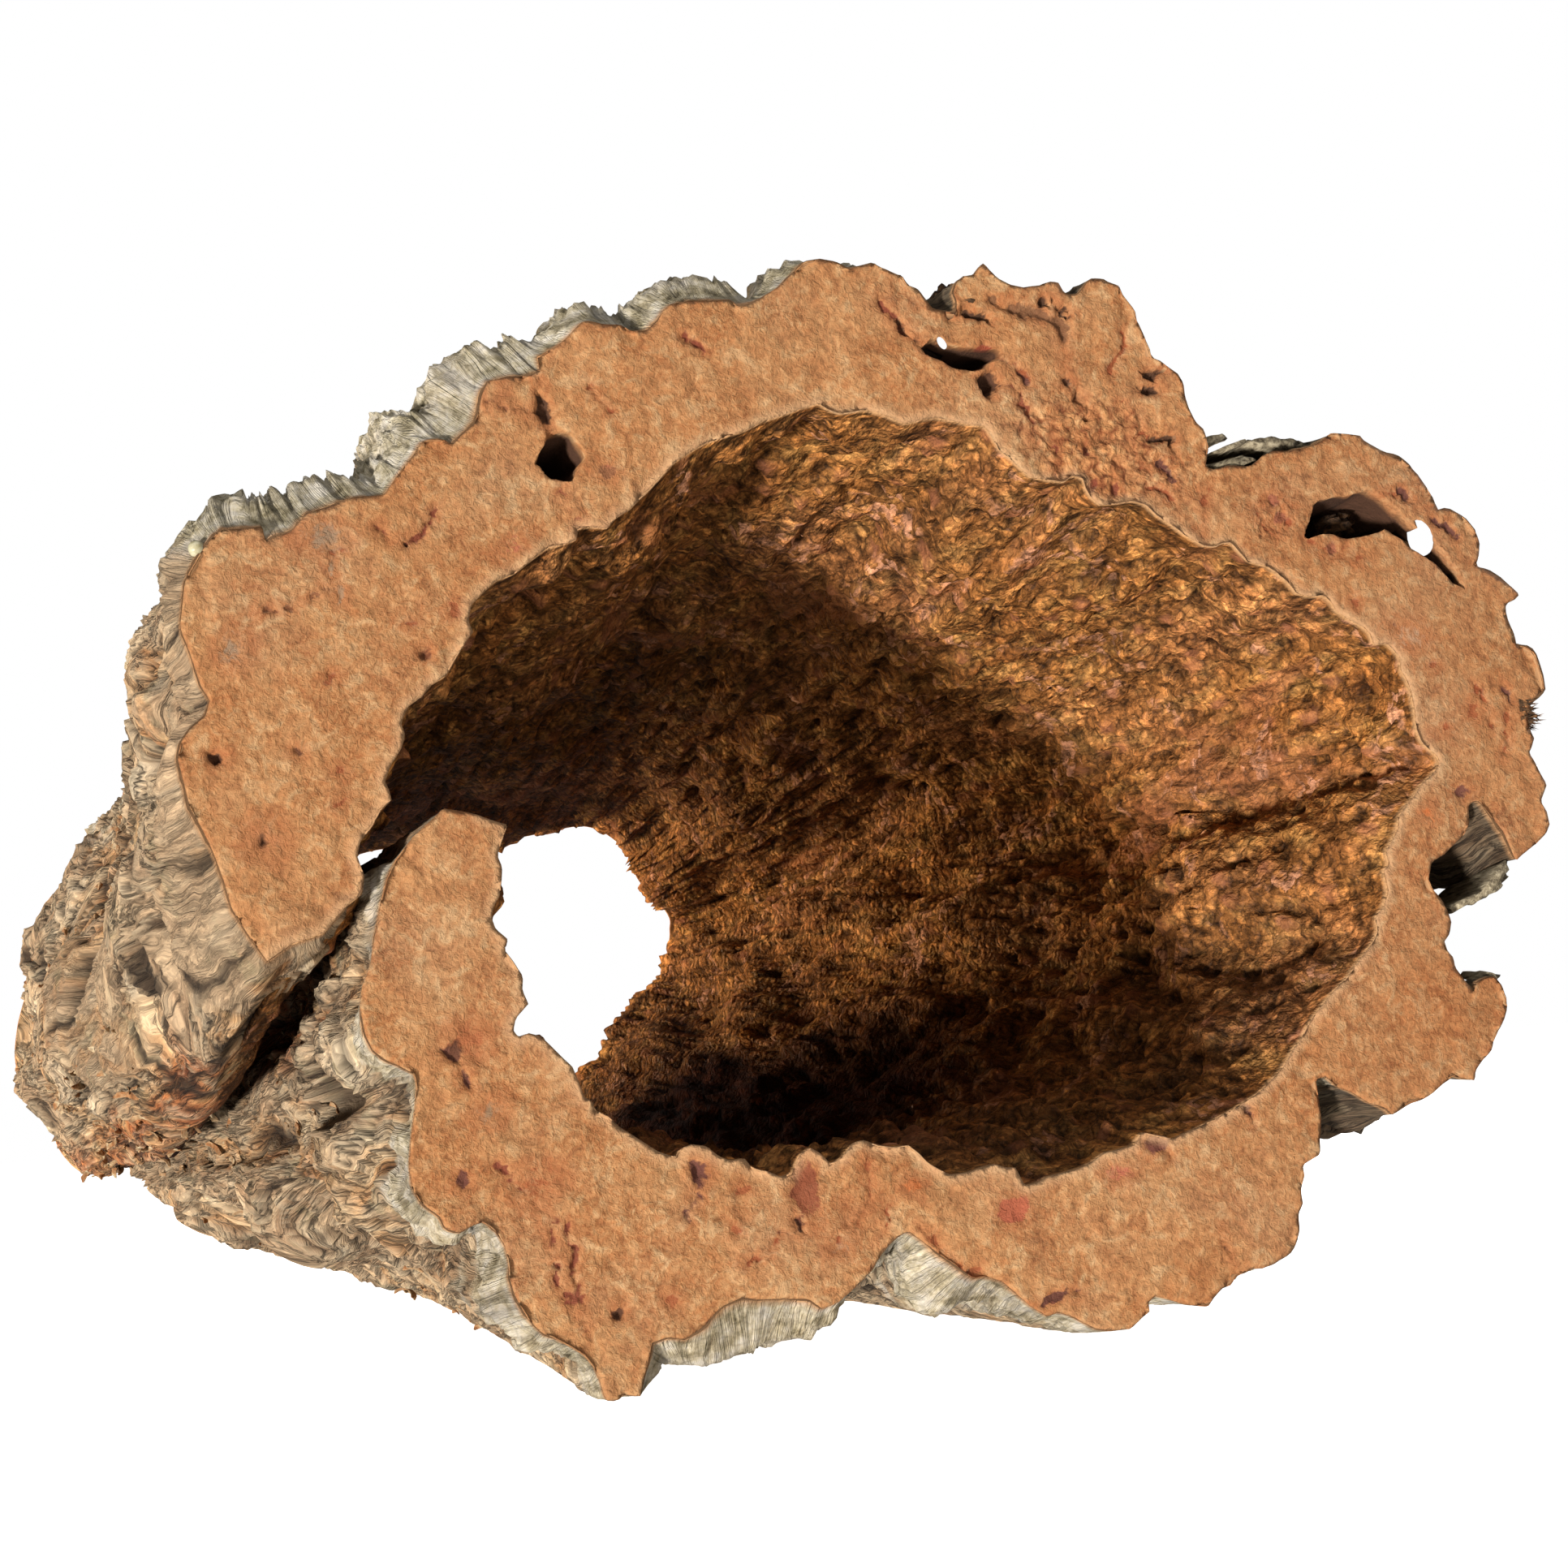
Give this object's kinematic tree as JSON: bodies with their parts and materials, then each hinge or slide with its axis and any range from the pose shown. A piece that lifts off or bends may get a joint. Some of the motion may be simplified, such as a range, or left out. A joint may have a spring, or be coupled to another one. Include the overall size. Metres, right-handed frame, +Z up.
{
  "type": "cork branch",
  "caption": "Hollow branch round of virgin cork bark, lying on its side, with sawn ends, a lapped seam along one side and a ridged grey bark.",
  "frame": {"origin": "bottom centre of the object's box, on the surface that the branch lies on", "axes": "+Y along the hollow, from the near sawn end to the far one; +Z up; the seam is on the -X side"},
  "size_m": [0.1934, 0.27, 0.1383],
  "materials": {
    "virgin_cork": "matte, sawn tan cork ends, brown inner wall and grey lichened bark"
  },
  "bodies": {
    "root": {"cork_branch": "virgin_cork"}
  },
  "joints": []
}
